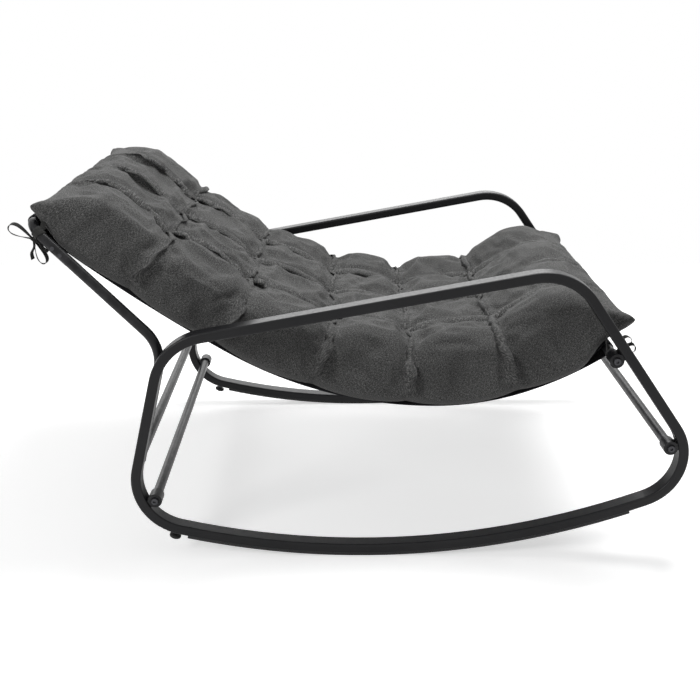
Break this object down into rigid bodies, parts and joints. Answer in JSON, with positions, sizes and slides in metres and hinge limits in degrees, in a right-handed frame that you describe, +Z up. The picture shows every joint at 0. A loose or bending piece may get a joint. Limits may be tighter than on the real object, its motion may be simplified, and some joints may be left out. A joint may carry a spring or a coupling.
{
  "type": "rocking chaise lounge",
  "caption": "Rocking chaise lounge: two closed-loop tube sides with curved rockers, a cloth sling and a thick tufted cushion tied on at its corners.",
  "frame": {"origin": "on the floor under the middle of the overall length and width", "axes": "+X towards the foot end, +Y towards the sitter's left, +Z up"},
  "size_m": [1.1075, 0.75, 0.6137],
  "materials": {
    "painted_frame": "satin near-black powder coat",
    "dark_steel": "black-finished steel hardware",
    "plain_steel": "zinc-plated steel, hidden inside the tubes",
    "black_plastic": "matt black plastic",
    "strip_plastic": "matt dark plastic wear strip",
    "rubber_pad": "matt black rubber",
    "sling_cloth": "tight black textile",
    "cushion_cloth": "mottled dark grey woven cover",
    "tie_ribbon": "dark grey ribbon"
  },
  "bodies": {
    "frame": {"back_cross_tube": "painted_frame", "back_leg_left": "painted_frame", "back_leg_plugs": "black_plastic", "back_leg_right": "painted_frame", "cushion": "cushion_cloth", "foot_nut_left": "dark_steel", "foot_nut_right": "dark_steel", "frame_bolts_left": "dark_steel", "frame_bolts_right": "dark_steel", "front_cross_tube": "painted_frame", "front_cross_tube_inserts": "plain_steel", "front_tie_left": "tie_ribbon", "front_tie_right": "tie_ribbon", "front_tube_cup_left": "painted_frame", "front_tube_cup_right": "painted_frame", "head_hoop": "painted_frame", "head_tie_left": "tie_ribbon", "head_tie_right": "tie_ribbon", "hoop_rivets": "dark_steel", "hoop_spigots": "plain_steel", "leg_bolts": "dark_steel", "leg_spacers": "dark_steel", "rear_cross_tube": "painted_frame", "rear_cross_tube_inserts": "plain_steel", "rear_tube_cup_left": "painted_frame", "rear_tube_cup_right": "painted_frame", "rivet_nuts": "dark_steel", "seat_bar": "painted_frame", "seat_bar_cup_left": "painted_frame", "seat_bar_cup_right": "painted_frame", "seat_bar_inserts": "plain_steel", "side_loop_left": "painted_frame", "side_loop_right": "painted_frame", "sling": "sling_cloth", "wear_strip_left": "strip_plastic", "wear_strip_right": "strip_plastic", "wear_strip_screws_left": "dark_steel", "wear_strip_screws_right": "dark_steel"},
    "foot_right": {"foot_stud_right": "dark_steel", "foot_pad_right": "rubber_pad"},
    "foot_left": {"foot_stud_left": "dark_steel", "foot_pad_left": "rubber_pad"}
  },
  "joints": [
    {"name": "foot_right_screw", "type": "slide", "parent": "frame", "child": "foot_right", "axis": [-0.2924, 0, -0.9563], "range_m": [-0.003, 0.004]},
    {"name": "foot_left_screw", "type": "slide", "parent": "frame", "child": "foot_left", "axis": [-0.2924, 0, -0.9563], "range_m": [-0.003, 0.004]}
  ]
}
